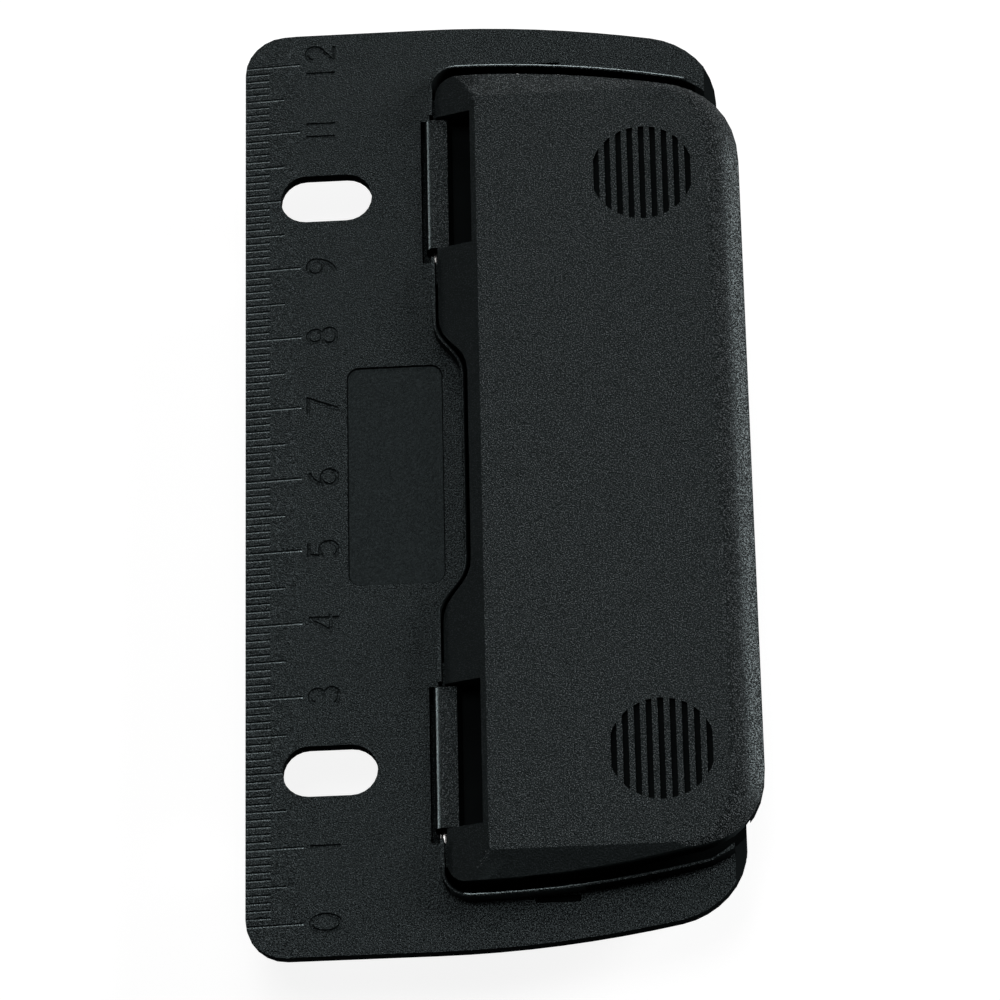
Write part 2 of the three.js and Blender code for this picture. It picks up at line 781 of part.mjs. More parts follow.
function lever() {
  const skin = leverSkin();
  const profile = knuckleProfile();
  const pocketTop = leverTop + overrun;
  const armBottom = plateTop - armBottomDepth;
  const knuckles = punchPlaces.map(([, y]) => bar(profile, y - knuckleLow, y + knuckleHigh));
  const pockets = punchPlaces.map(([, y]) => block(leverKnee.left - overrun, pocketEnd,
    y - knuckleLow - pocketPlay, y + knuckleHigh + pocketPlay, armBottom - overrun, pocketTop));
  const walls = punchPlaces.map(([, y]) => block(leverKnee.left, pocketEnd + pocketWall,
    y - knuckleLow - pocketPlay - leverWall, y + knuckleHigh + pocketPlay + leverWall,
    armBottom, leverTop).intersect(skin));
  const bores = punchPlaces.map(([, y]) => bar(
    curvePoints(new THREE.EllipseCurve(hingeX, hingeZ, hingePinRadius + hingePinPlay,
      hingePinRadius + hingePinPlay, 0, 2 * Math.PI), smallFacets).slice(1),
    y - windowLow - overrun, y + windowHigh + overrun));
  const shell = cutBy(skin, [leverHollow()]).add(leverRibs().intersect(skin));
  const pocketed = cutBy(joined([shell, ...walls]), pockets);
  return cutBy(joined([pocketed, frontSkirt(), ...knuckles, ...ends.map(catchHook)]), [
    ...bores,
    ...punchPlaces.flatMap(([, y]) => [padCuts(y), ...seatNotches(y)]),
  ]);
}

// Hinge pins

function hingePin(y) {
  const circle = curvePoints(new THREE.EllipseCurve(hingeX, hingeZ, hingePinRadius, hingePinRadius,
    0, 2 * Math.PI), smallFacets).slice(1);
  return bar(circle, y - windowLow - hingePinReach, y + windowHigh + hingePinReach);
}

// Punch pins, guides and springs

const roofZ = leverTop - leverRoof;
const headTop = roofZ - headGap;
const headBottom = headTop - headHeight;

function punchPin(y) {
  const tip = paperTop + punchRest;
  return turned([
    [0, tip + punchHollow],
    [punchRadius, tip],
    [punchRadius, headBottom],
    [headRadius, headBottom],
    [headRadius, headBottom + headRim],
    [headRadius - headChamfer, headTop],
    [0, headTop],
  ], punchX, y);
}

const guideFlangeTop = floorTop - guideSeatDepth();

function punchGuide(y) {
  const seat = guideFlangeTop - guideFlangeHeight;
  return turned([
    [guideBore, paperTop],
    [guideSpigotRadius, paperTop],
    [guideSpigotRadius, seat],
    [guideFlangeRadius, seat],
    [guideFlangeRadius, guideFlangeTop],
    [guideTubeRadius, guideFlangeTop],
    [guideTubeRadius, guideFlangeTop + guideTubeHeight],
    [guideBore, guideFlangeTop + guideTubeHeight],
    [guideBore, paperTop],
  ], punchX, y);
}

class Helix extends THREE.Curve {
  constructor(x, y, bottom, top) {
    super();
    Object.assign(this, { x, y, bottom, top });
  }

  getPoint(t, target = new THREE.Vector3()) {
    const angle = 2 * Math.PI * springTurns * t;
    return target.set(
      this.x + springRadius * Math.cos(angle),
      this.y + springRadius * Math.sin(angle),
      this.bottom + t * (this.top - this.bottom));
  }
}

function returnSpring(y) {
  const radius = springWire / 2;
  const section = curvePoints(new THREE.EllipseCurve(0, 0, radius, radius, 0, 2 * Math.PI), springSides);
  const path = new Helix(punchX, y, guideFlangeTop + radius + springEndGap, headBottom - radius - springEndGap);
  return solid(new THREE.ExtrudeGeometry(shapeOf(section.slice(1)), {
    extrudePath: path,
    steps: Math.round(springTurns * springStepsPerTurn),
    bevelEnabled: false,
  }));
}

// Die body: the paper stop, the die's leg and the channel of the chip tray

function coreCuts() {
  const width = (stopX - bodyLeft - coreWall * (coreColumns + 1)) / coreColumns;
  const length = (2 * webEnd - coreWall * (coreRows + 1)) / coreRows;
  const cuts = [];
  for (let column = 0; column < coreColumns; column += 1) {
    for (let row = 0; row < coreRows; row += 1) {
      const left = bodyLeft + coreWall + column * (width + coreWall);
      const from = -webEnd + coreWall + row * (length + coreWall);
      cuts.push(block(left, left + width, from, from + length, -overrun, paperTop - coreRoof));
    }
  }
  return joined(cuts);
}

function saddles() {
  return punchPlaces.flatMap(([, y]) => seatRanges(y).map(([from, to]) => block(
    hingeX - saddleWidth / 2, hingeX + saddleWidth / 2,
    from + 2 * saddleInset, to - 2 * saddleInset,
    paperTop - coreRoof, hingeZ - hingePinRadius - hingePinPlay)));
}

function dieBody() {
  const web = prism(roundedBox(bodyLeft, stopX, webEnd, webCorner), 0, paperTop);
  const leg = prism(roundedBox(bodyLeft, bodyRight, legEnd, legCorner), 0, paperTop);
  const whole = web.add(leg);
  const paper = block(stopX, bodyRight + overrun, -legEnd - overrun, legEnd + overrun,
    dieTop, paperTop + overrun);
  const channelRight = bodyRight - bodyWall;
  const channel = block(channelLeft, channelRight, -legEnd - overrun, legEnd - bodyWall, -overrun, legBottom);
  const rails = block(channelLeft - railSlotDepth, channelRight + railSlotDepth, -legEnd - overrun,
    legEnd - bodyWall, railBottom - railPlay, railBottom + railHeight + railPlay);
  const towers = screwPlaces.map(([x, y]) => disc(screwHeadRadius + screwPlay + coreWall, x, y,
    0, paperTop).intersect(whole));
  const hollow = cutBy(whole, [paper, channel, rails, coreCuts()]);
  const heads = screwPlaces.map(([x, y]) => disc(screwHeadRadius + screwPlay, x, y,
    -overrun, screwHeadSink + screwHeadHeight, smallFacets));
  const shanks = screwPlaces.map(([x, y]) => disc(screwShankRadius + screwPlay, x, y,
    0, paperTop + overrun, smallFacets));
  const pits = punchPlaces.flatMap(([, y]) => [
    block(punchX - dieWidth / 2 - diePlay, punchX + dieWidth / 2 + diePlay,
      y - dieLength / 2 - diePlay, y + dieLength / 2 + diePlay, dieTop - dieThickness, dieTop + overrun),
    disc(chipHoleRadius, punchX, y, legBottom - overrun, dieTop),
    ...ends.map((side) => disc(rivetShankRadius + rivetPlay, punchX, y + side * rivetOffset,
      legBottom - overrun, dieTop, smallFacets)),
  ]);
  return cutBy(joined([hollow, ...towers, ...saddles()]), [...heads, ...shanks, ...pits]);
}

// Die plates and rivets

function diePlate(y) {
  const plate = block(punchX - dieWidth / 2, punchX + dieWidth / 2, y - dieLength / 2, y + dieLength / 2,
    dieTop - dieThickness, dieTop);
  const sinks = ends.flatMap((side) => [
    turned([
      [0, dieTop - rivetHeadHeight - rivetPlay],
      [rivetShankRadius + rivetPlay, dieTop - rivetHeadHeight - rivetPlay],
      [rivetHeadRadius + rivetPlay, dieTop],
      [rivetHeadRadius + rivetPlay, dieTop + overrun],
      [0, dieTop + overrun],
    ], punchX, y + side * rivetOffset, smallFacets),
    disc(rivetShankRadius + rivetPlay, punchX, y + side * rivetOffset,
      legBottom, dieTop, smallFacets),
  ]);
  return cutBy(plate, [disc(dieBore, punchX, y, legBottom, dieTop + overrun), ...sinks]);
}

function dieRivet(y) {
  return turned([
    [0, legBottom],
    [rivetShankRadius, legBottom],
    [rivetShankRadius, dieTop - rivetHeadHeight],
    [rivetHeadRadius, dieTop],
    [0, dieTop],
  ], punchX, y, smallFacets);
}

// Chip tray

function chipTray() {
  const left = channelLeft + trayPlay;
  const right = bodyRight - bodyWall - trayPlay;
  const back = legEnd - bodyWall - trayPlay;
  const front = -legEnd - trayPlay;
  const frontLeft = channelLeft - railSlotDepth;
  const box = block(left, right, front, back, 0, trayWallTop);
  const rails = block(left - railReach, right + railReach, front, back, railBottom, railBottom + railHeight);
  const face = block(frontLeft, bodyRight, front - trayFrontThickness, front, 0, trayFrontHeight);
  const inside = block(left + trayWall, right - trayWall, front, back - trayWall, trayFloor,
    trayWallTop + overrun);
  const middle = (left + right) / 2;
  const grip = block(middle - gripWidth / 2, middle + gripWidth / 2,
    front - trayFrontThickness - overrun, front - trayFrontThickness + gripDepth,
    trayFrontHeight / 2 - gripHeight / 2, trayFrontHeight / 2 + gripHeight / 2);
  return cutBy(joined([box, rails, face]), [inside, grip]);
}

// Screws

function bodyScrew(x, y) {
  const headTopZ = screwHeadSink + screwHeadHeight;
  const screw = turned([
    [0, screwHeadSink],
    [screwHeadRadius, screwHeadSink],
    [screwHeadRadius, headTopZ],
    [screwShankRadius, headTopZ],
    [screwShankRadius, plateTop + bossTop - screwTipGap - screwShankRadius],
    [0, plateTop + bossTop - screwTipGap],
  ], x, y, smallFacets);
  const arm = screwHeadRadius - screwSlotWidth;
  const cross = (halfX, halfY) => block(x - halfX, x + halfX, y - halfY, y + halfY,
    screwHeadSink - overrun, screwHeadSink + screwSlotDepth);
  return cutBy(screw, [cross(arm, screwSlotWidth / 2), cross(screwSlotWidth / 2, arm)]);
}

add('ruler_plate', rulerPlate(), plasticLook);
add('lever', lever(), leverLook);
add('die_body', dieBody(), plasticLook);
add('chip_tray', chipTray(), plasticLook);
for (const [place, y] of punchPlaces) {
  add(`hinge_pin_${place}`, hingePin(y), steelLook);
  add(`punch_pin_${place}`, punchPin(y), steelLook);
  add(`punch_guide_${place}`, punchGuide(y), steelLook);
  add(`return_spring_${place}`, returnSpring(y), springLook);
  add(`die_plate_${place}`, diePlate(y), steelLook);
  add(`die_rivet_${place}_1`, dieRivet(y - rivetOffset), steelLook);
  add(`die_rivet_${place}_2`, dieRivet(y + rivetOffset), steelLook);
}
screwPlaces.forEach(([x, y], i) => add(`body_screw_${i + 1}`, bodyScrew(x, y), steelLook));

export default part;
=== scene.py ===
import math

import bmesh
import bpy
from mathutils import Matrix, Vector


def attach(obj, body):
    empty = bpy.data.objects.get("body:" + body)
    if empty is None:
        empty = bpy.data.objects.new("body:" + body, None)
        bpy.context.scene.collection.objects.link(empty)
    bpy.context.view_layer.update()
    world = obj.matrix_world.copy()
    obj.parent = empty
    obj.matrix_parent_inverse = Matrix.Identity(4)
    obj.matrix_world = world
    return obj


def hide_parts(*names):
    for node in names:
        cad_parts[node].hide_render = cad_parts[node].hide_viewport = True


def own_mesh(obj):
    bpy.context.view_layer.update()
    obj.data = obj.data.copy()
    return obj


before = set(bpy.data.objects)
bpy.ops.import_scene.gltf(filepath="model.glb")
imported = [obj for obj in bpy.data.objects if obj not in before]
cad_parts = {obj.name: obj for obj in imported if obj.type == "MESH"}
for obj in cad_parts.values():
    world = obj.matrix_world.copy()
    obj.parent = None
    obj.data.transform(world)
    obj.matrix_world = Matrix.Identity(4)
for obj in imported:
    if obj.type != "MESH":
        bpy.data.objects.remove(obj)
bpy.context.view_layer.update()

# Lengths are in millimetres, with x from the ruler's edge, y along the ruler from its middle and z up from
# the table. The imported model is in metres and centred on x.
MM = 0.001
PART_WIDTH = 64.9

# Heights of the model
PLATE_TOP = 9.6
LEVER_TOP = 12.8
LIP_TOP = 11.4
PLATE_THICKNESS = 1.8

# Places and sizes of the model
KNEE_LEFT = 25.2
PUNCH_X = 52.3
HOLE_SPACING = 80
PAD_RADIUS = 6.7
PAD_DEPTH = 0.5
LABEL_LEFT = 13.2
LABEL_WIDTH = 12.4
LABEL_LENGTH = 30.5
LABEL_DEPTH = 0.25
# Width of the line of painted shade round the label's recess
LABEL_SHADE_LINE = 0.16

# The camera, from the ruler's ticks and edges in the photograph. Its place is in metres, its lens and its
# sensor are in millimetres.
CAMERA_PLACE = (0.03392, -0.25733, 0.59386)
CAMERA_RIGHT = (0.99762, -0.0198, -0.06609)
CAMERA_UP = (0.04438, 0.91763, 0.39496)
CAMERA_LENS = 180
CAMERA_SENSOR = 36

# Each lamp's place and size in metres, and its power in watts
LAMPS = {
    "key": ((-0.32, 0.6, 1.8), 1.1, 9.2),
    "side": ((1.3, 0.5, 0.42), 0.6, 19.0),
    "left": ((-1.3, 0.5, 0.32), 0.4, 3.5),
    "back": ((0.0, 1.5, 0.6), 0.5, 8.5),
}

# The sky's strength at the horizon and above a band over it
SKY_LOW = 0.5
SKY_HIGH = 0.25
SKY_BAND = 0.35

# The floor, whose size is in metres, and its gap to the part in millimetres
FLOOR_SIZE = 6.0
FLOOR_GAP = 0.05
FLOOR_COLOUR = 0.85
FLOOR_SHADE = 0.3
FLOOR_GLOW = 0.88
FLOOR_ROUGHNESS = 0.9

# Noise of the materials: sizes in millimetres, and the ranges of it that are used
NOISE_DETAIL = 2.0
NOISE_LOW = 0.3
NOISE_HIGH = 0.7
GRAIN_DETAIL = 1.0
GRAIN_START = 0.46
GRAIN_END = 0.74
FLOW_SIZE = 6.0
ROUGHNESS_SPREAD = 0.06
# Painted glints: the size of the light specks in the plastics' colour, and the range of their noise
GLINT_SIZE = 0.16
GLINT_START = -1.8
GLINT_END = 1.0

# Plastics, with linear colours
BLACK = (0.003, 0.0039, 0.0041)
BODY_BLACK = (0.003, 0.0038, 0.004)
# Painted shade: a shine-free black that stands in for the shade on walls, in deep places and round the
# label's recess
SHADE_BLACK = (0.0052, 0.0064, 0.0066)
# Painted light: a lighter black for walls above the plate that look down the ruler, standing in for the
# light they catch
LIT_WALL_BLACK = (0.02, 0.025, 0.026)
# Painted glints: colours of light specks that stand in for the sparkle of the grain
FAINT_GLINT = (0.014, 0.017, 0.018)
FINE_GLINT = (0.06, 0.07, 0.073)
BRIGHT_GLINT = (0.09, 0.1, 0.104)
PLASTIC_TINT = (0.78, 0.97, 1.0)
PLASTIC_DARK_SHARE = 0.8
PLASTIC_LIGHT_SHARE = 1.25
# The shine-free plastic of the painted shade, and of the painted light on walls
DULL_ROUGHNESS = 0.85
DULL_SPECULAR = 0.0
DULL_GRAIN = 0.3
DULL_DEPTH = 0.02

# Steels
TARNISH_SIZE = 2.5
METAL_DARK_SHARE = 0.75
SCRATCH_SHARES = (1, 0.12, 1)

# Edges of the moulded pieces, with angles in degrees
WELD = 0.001
FLAT_ANGLE = 0.4
EDGE_ANGLE = 45
CREST_ANGLE = 9
CREST_PLAY = 0.01
SHARP_ANGLE = 28
LEVEL_ANGLE = 9
LOWEST_EDGE = -1.0
PLATE_EDGE = 0.2
LIP_EDGE = 0.2
LEVER_EDGE = 0.28
CREST_EDGE = 0.45
BODY_EDGE = 0.2
EDGE_STEPS = 2
CREST_STEPS = 4
EDGE_PROFILE = 0.5

# Where a moulded piece gets painted shade, painted light or a lit or shaded copy of its plastic: parts of a
# face's normal, a depth under the plate's top, and shares of the pads' and the label's depths
WALL_TILT = 0.62
LEVEL_TILT = 0.99
CROWN_TILT = 0.62
FRONT_TILT = 0.1
SLOPE_TILT = 0.01
WELL_SHADE_DEPTH = 0.95
PAD_SHADE_TOP_SHARE = 0.5
PAD_SHADE_FLOOR_SHARE = 2
LEVEL_PLAY_SHARE = 0.1

# The places among a piece's materials, after its own, of the shared painted shade, shaded copy, lit copy
# and painted light on walls
PAINTED_SHADE, SHADED_COPY, LIT_COPY, PAINTED_WALL_LIGHT = range(1, 5)

# The ruler: its ticks
RULER_LENGTH = 120
CENTIMETRE = 10
HALF_CENTIMETRE = 5
TICK_WIDTH = 0.36
TICK_DEPTH = 0.08
MILLIMETRE_TICK = 3.2
HALF_TICK = 5.2
CENTIMETRE_TICK = 7.3
BEVEL_WIDTH = 7.0
BEVEL_DROP = 0.6
CUT_OVERRUN = 0.3

# The ruler: its numerals, which read along the ruler with their tops towards its edge
DIGIT_TOP = 8.0
DIGIT_HEIGHT = 4.1
DIGIT_WIDTH = 2.6
DIGIT_PITCH = 3.0
ONE_PITCH = 1.9
STROKE_WIDTH = 0.56
STROKE_FLOOR_SHARE = 0.45
STROKE_DEPTH = 0.15
MITRE_LIMIT = 1.7
JOIN_SHARE = 0.1
ARC_STEP = 15
# A numeral has two sets of strokes, cut one after the other where they cross. A stroke is a list of points
# and arcs in shares of the numeral's width and height; an arc has a centre, two radii, and its ends in
# degrees.
DIGIT_SHARES = {
    "0": ([[("arc", 0.5, 0.5, 0.42, 0.45, 0, 360)]], []),
    "1": ([[(0.5, 0.97), (0.5, 0.03)]], []),
    "2": ([[("arc", 0.5, 0.68, 0.38, 0.27, 165, -35), (0.08, 0.05), (0.92, 0.05)]], []),
    "3": ([[("arc", 0.5, 0.72, 0.36, 0.23, 160, -90)]], [[("arc", 0.5, 0.27, 0.42, 0.22, 90, -160)]]),
    "4": ([[(0.68, 0.95), (0.07, 0.29), (0.95, 0.29)]], [[(0.72, 0.97), (0.72, 0.03)]]),
    "5": ([[(0.86, 0.95), (0.2, 0.95), (0.15, 0.56), ("arc", 0.48, 0.33, 0.42, 0.28, 115, -150)]], []),
    "6": ([[("arc", 0.5, 0.3, 0.4, 0.25, 0, 360)]], [[("arc", 0.9, 0.3, 0.8, 0.65, 100, 180)]]),
    "7": ([[(0.08, 0.95), (0.92, 0.95), (0.36, 0.03)]], []),
    "8": ([[("arc", 0.5, 0.72, 0.34, 0.23, 0, 360)]], [[("arc", 0.5, 0.27, 0.42, 0.23, 0, 360)]]),
    "9": ([[("arc", 0.5, 0.7, 0.4, 0.25, 0, 360)]], [[("arc", 0.1, 0.7, 0.8, 0.65, -80, 0)]]),
}
# The binder slots take the places of 2 and 10
NUMERALS = [0, 1, 3, 4, 5, 6, 7, 8, 9, 11, 12]


def place(x, y, z):
    """A place of the source, in millimetres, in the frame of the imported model."""
    return Vector((x - PART_WIDTH / 2, y, z)) * MM


def from_edge(centre):
    """The distance from the ruler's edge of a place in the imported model, both in millimetres."""
    return centre.x + PART_WIDTH / 2


def linked(name, data):
    """A new object in the scene."""
    piece = bpy.data.objects.new(name, data)
    bpy.context.scene.collection.objects.link(piece)
    return piece


def to_object(name, mesh):
    """A new object from a mesh that isn't worked on any more."""
    data = bpy.data.meshes.new(name)
    mesh.to_mesh(data)
    mesh.free()
    return linked(name, data)


# Materials

def new_material(name, colour, roughness):
    """A material with its Principled shader, node tree and a texture coordinate that stays on the piece."""
    material = bpy.data.materials.new(name)
    material.use_nodes = True
    tree = material.node_tree
    shader = tree.nodes["Principled BSDF"]
    shader.inputs["Base Color"].default_value = (*colour, 1)
    shader.inputs["Roughness"].default_value = roughness
    coordinate = tree.nodes.new("ShaderNodeTexCoord").outputs["Object"]
    return material, tree, shader, coordinate


def noise(tree, coordinate, size, detail=NOISE_DETAIL):
    """Noise with grains of a size in millimetres."""
    node = tree.nodes.new("ShaderNodeTexNoise")
    node.inputs["Scale"].default_value = 1 / (size * MM)
    node.inputs["Detail"].default_value = detail
    tree.links.new(coordinate, node.inputs["Vector"])
    return node.outputs["Fac"]


def spread(tree, value, low, high, start=NOISE_LOW, end=NOISE_HIGH):
    """A range of the noise, its middle one as a rule, spread over a range of values."""
    node = tree.nodes.new("ShaderNodeMapRange")
    node.inputs["From Min"].default_value = start
    node.inputs["From Max"].default_value = end
    node.inputs["To Min"].default_value = low
    node.inputs["To Max"].default_value = high
    tree.links.new(value, node.inputs["Value"])
    return node.outputs["Result"]


def tint(tree, value, dark, light):
    """A colour between two, by a value from 0 to 1."""
    ramp = tree.nodes.new("ShaderNodeValToRGB")
    ramp.color_ramp.elements[0].color = (*dark, 1)
    ramp.color_ramp.elements[1].color = (*light, 1)
    tree.links.new(value, ramp.inputs["Fac"])
    return ramp.outputs["Color"]


def bump(tree, shader, height, distance):
    """Relief with a depth in millimetres."""
    node = tree.nodes.new("ShaderNodeBump")
    node.inputs["Distance"].default_value = distance * MM
    tree.links.new(height, node.inputs["Height"])
    tree.links.new(node.outputs["Normal"], shader.inputs["Normal"])


def moulded(name, colour, roughness, grain, depth, specular, glint):
    """Plastic from a spark-eroded mould: fine grain, faint flow marks, and painted glints, light specks in
    its colour that stand in for the grain's sparkle.
    """
    material, tree, shader, coordinate = new_material(name, colour, roughness)
    shader.inputs["Specular IOR Level"].default_value = specular
    shader.inputs["Specular Tint"].default_value = (*PLASTIC_TINT, 1)
    fine = noise(tree, coordinate, grain, GRAIN_DETAIL)
    flow = noise(tree, coordinate, FLOW_SIZE)
    dark = tuple(PLASTIC_DARK_SHARE * value for value in colour)
    light = tuple(PLASTIC_LIGHT_SHARE * value for value in colour)
    mixed = tree.nodes.new("ShaderNodeMix")
    mixed.data_type = "RGBA"
    # Painted glints mixed into the colour
    glints = spread(tree, noise(tree, coordinate, GLINT_SIZE, 0), GLINT_START, GLINT_END)
    tree.links.new(glints, mixed.inputs["Factor"])
    tree.links.new(tint(tree, spread(tree, flow, 0, 1), dark, light), mixed.inputs["A"])
    mixed.inputs["B"].default_value = (*glint, 1)
    tree.links.new(mixed.outputs["Result"], shader.inputs["Base Color"])
    roughnesses = spread(tree, fine, roughness - ROUGHNESS_SPREAD, roughness + ROUGHNESS_SPREAD)
    tree.links.new(roughnesses, shader.inputs["Roughness"])
    bump(tree, shader, spread(tree, fine, 0, 1, GRAIN_START, GRAIN_END), depth)
    return material


def dull(name, colour):
    """Plastic without shine, whose colour stands in for light or shade: painted shade on walls and deep
    places, or painted light on walls with a lighter colour.
    """
    material, tree, shader, coordinate = new_material(name, colour, DULL_ROUGHNESS)
    shader.inputs["Specular IOR Level"].default_value = DULL_SPECULAR
    flow = noise(tree, coordinate, FLOW_SIZE)
    light = tuple(PLASTIC_LIGHT_SHARE * value for value in colour)
    tree.links.new(tint(tree, spread(tree, flow, 0, 1), colour, light), shader.inputs["Base Color"])
    bump(tree, shader, noise(tree, coordinate, DULL_GRAIN), DULL_DEPTH)
    return material


def metal(name, colour, roughness, scratch, depth):
    """Steel with fine marks that run round or along the piece."""
    material, tree, shader, coordinate = new_material(name, colour, roughness)
    shader.inputs["Metallic"].default_value = 1
    mapping = tree.nodes.new("ShaderNodeMapping")
    mapping.inputs["Scale"].default_value = SCRATCH_SHARES
    tree.links.new(coordinate, mapping.inputs["Vector"])
    marks = noise(tree, mapping.outputs["Vector"], scratch)
    tarnish = noise(tree, coordinate, TARNISH_SIZE)
    dark = tuple(METAL_DARK_SHARE * value for value in colour)
    tree.links.new(tint(tree, spread(tree, tarnish, 0, 1), dark, colour), shader.inputs["Base Color"])
    roughnesses = spread(tree, marks, roughness - ROUGHNESS_SPREAD, roughness + ROUGHNESS_SPREAD)
    tree.links.new(roughnesses, shader.inputs["Roughness"])
    bump(tree, shader, marks, depth)
    return material


# Painted shade on walls and in deep places
SHADE_PLASTIC = dull("painted_shade_plastic", SHADE_BLACK)
# Painted light on walls that look down the ruler
LIT_WALL_PLASTIC = dull("painted_light_on_walls", LIT_WALL_BLACK)
# Shaded copy of the plastic: rougher, with shallower grain and fainter painted glints, for faces in shade
SHADED_COPY_PLASTIC = moulded("shaded_copy_grain", BLACK, roughness=0.4, grain=0.22, depth=0.02,
                        specular=0.15, glint=FAINT_GLINT)
# Lit copy of the plastic: much shinier, put on faces that look towards the lamps so that they catch more
# light
LIT_COPY_PLASTIC = moulded("lit_copy_grain", BLACK, roughness=0.3, grain=0.2, depth=0.01,
                        specular=0.8, glint=FAINT_GLINT)
SHADE_AND_LIGHT_COPIES = [SHADE_PLASTIC, SHADED_COPY_PLASTIC, LIT_COPY_PLASTIC, LIT_WALL_PLASTIC]
MATERIALS = {
    "plate_plastic": moulded("plate_grain", BLACK, roughness=0.32, grain=0.2, depth=0.09,
                             specular=0.16, glint=FINE_GLINT),
    "lever_plastic": moulded("lever_grain", BLACK, roughness=0.32, grain=0.18, depth=0.11,
                             specular=0.15, glint=BRIGHT_GLINT),
    "body_plastic": moulded("body_grain", BODY_BLACK, roughness=0.4, grain=0.2, depth=0.06,
                            specular=0.16, glint=FINE_GLINT),
    "bright_steel": metal("bright_pin", (0.66, 0.65, 0.64),
                          roughness=0.2, scratch=0.2, depth=0.002),
    "ground_steel": metal("ground_steel_marks", (0.55, 0.55, 0.56),
                          roughness=0.3, scratch=0.12, depth=0.003),
    "spring_steel": metal("spring_wire_marks", (0.5, 0.49, 0.47),
                          roughness=0.35, scratch=0.2, depth=0.003),
    "zinc_steel": metal("zinc_coat", (0.6, 0.61, 0.6),
                        roughness=0.32, scratch=0.5, depth=0.003),
}


# Moulded pieces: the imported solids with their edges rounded

def bare_mesh(source):
    """The solid's faces without doubled points and flat cuts."""
    mesh = bmesh.new()
    places = [mesh.verts.new(vertex.co) for vertex in source.data.vertices]
    for face in source.data.polygons:
        mesh.faces.new([places[i] for i in face.vertices])
    bmesh.ops.remove_doubles(mesh, verts=mesh.verts, dist=WELD * MM)
    bmesh.ops.dissolve_limit(mesh, angle_limit=math.radians(FLAT_ANGLE), verts=mesh.verts, edges=mesh.edges)
    return mesh


def round_edges(mesh, edges, width, steps):
    """Rounds edges by a width in millimetres."""
    bmesh.ops.bevel(mesh, geom=edges, offset=width * MM, offset_type="OFFSET", segments=steps,
                    profile=EDGE_PROFILE, affect="EDGES", clamp_overlap=True)


def outer_edges(mesh, lowest):
    """The edges that stand out and lie above a height."""
    return [edge for edge in mesh.edges
            if edge.is_manifold
            and edge.calc_face_angle_signed(0) > math.radians(EDGE_ANGLE)
            and min(vertex.co.z for vertex in edge.verts) > lowest * MM]


def crest_edges(mesh):
    """The lines where the lever's face meets its flanks."""
    lowest = (LEVER_TOP - CREST_PLAY) * MM
    return [edge for edge in mesh.edges
            if edge.is_manifold
            and math.radians(CREST_ANGLE) < edge.calc_face_angle_signed(0) < math.radians(EDGE_ANGLE)
            and min(vertex.co.z for vertex in edge.verts) > lowest]


def shade(mesh):
    """Smooth normals that stay crisp at sharp edges."""
    for face in mesh.faces:
        face.smooth = True
    mesh.normal_update()
    for edge in mesh.edges:
        angle = math.degrees(edge.calc_face_angle(0)) if edge.is_manifold else SHARP_ANGLE
        beside_level = any(face.normal.z > LEVEL_TILT for face in edge.link_faces)
        edge.smooth = angle < (LEVEL_ANGLE if beside_level else SHARP_ANGLE)


def is_wall(face):
    """A steep face."""
    return abs(face.normal.z) < WALL_TILT


def finish_faces(mesh, is_painted_shade, is_shaded_copy, is_lit_copy):
    """Paints shade on walls and deep places and light on walls above the plate that look down the ruler,
    and gives the faces that the masks pick the shaded or lit copy of the plastic.
    """
    mesh.normal_update()
    for face in mesh.faces:
        centre = face.calc_center_median() / MM
        if is_painted_shade(face, centre):
            face.material_index = PAINTED_SHADE
        elif is_wall(face):
            # Walls above the plate that look down the ruler get painted light, and other walls painted
            # shade
            takes_painted_light = centre.z > PLATE_TOP and -face.normal.y > abs(face.normal.x)
            face.material_index = PAINTED_WALL_LIGHT if takes_painted_light else PAINTED_SHADE
        elif is_lit_copy(face, centre):
            face.material_index = LIT_COPY
        elif is_shaded_copy(face, centre):
            face.material_index = SHADED_COPY


def finish_piece(name, mesh, node, body, slot):
    """Makes the piece that stands for a solid, with its materials."""
    piece = to_object(name, mesh)
    for material in [MATERIALS[slot], *SHADE_AND_LIGHT_COPIES]:
        piece.data.materials.append(material)
    normals = piece.modifiers.new("normals", "WEIGHTED_NORMAL")
    normals.keep_sharp = True
    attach(piece, body)
    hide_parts(node)


# The ruler's ticks and numerals

def skin(profiles, closed):
    """The vertices and faces of a body through sections with as many points each, as a bar or as a ring."""
    count = len(profiles[0])
    points = [point for profile in profiles for point in profile]
    end = len(points) - count
    faces = [] if closed else [list(range(count))[::-1], [end + i for i in range(count)]]
    for start in range(0, len(points) if closed else end, count):
        onward = (start + count) % len(points)
        for i in range(count):
            after = (i + 1) % count
            faces.append([start + i, start + after, onward + after, onward + i])
    return points, faces


def tick(y, length):
    """A groove with sloping sides, which follows the ruler's bevel."""
    stations = [-CUT_OVERRUN] + [BEVEL_WIDTH] * (length > BEVEL_WIDTH) + [length]
    profiles = []
    for x in stations:
        surface = PLATE_TOP - BEVEL_DROP * max(0, BEVEL_WIDTH - x) / BEVEL_WIDTH
        half = TICK_WIDTH / 2
        profiles.append([
            place(x, y - half, surface + CUT_OVERRUN),
            place(x, y - half, surface),
            place(x, y, surface - TICK_DEPTH),
            place(x, y + half, surface),
            place(x, y + half, surface + CUT_OVERRUN),
        ])
    return skin(profiles, False)


def stroke_points(stroke):
    """A stroke's middle line, in shares of the numeral's width and height."""
    points = []
    for item in stroke:
        if item[0] != "arc":
            points.append(item)
            continue
        _, x, y, across, up, start, end = item
        steps = max(2, round(abs(end - start) / ARC_STEP))
        for step in range(steps + 1):
            angle = math.radians(start + (end - start) * step / steps)
            points.append((x + across * math.cos(angle), y + up * math.sin(angle)))
    return points


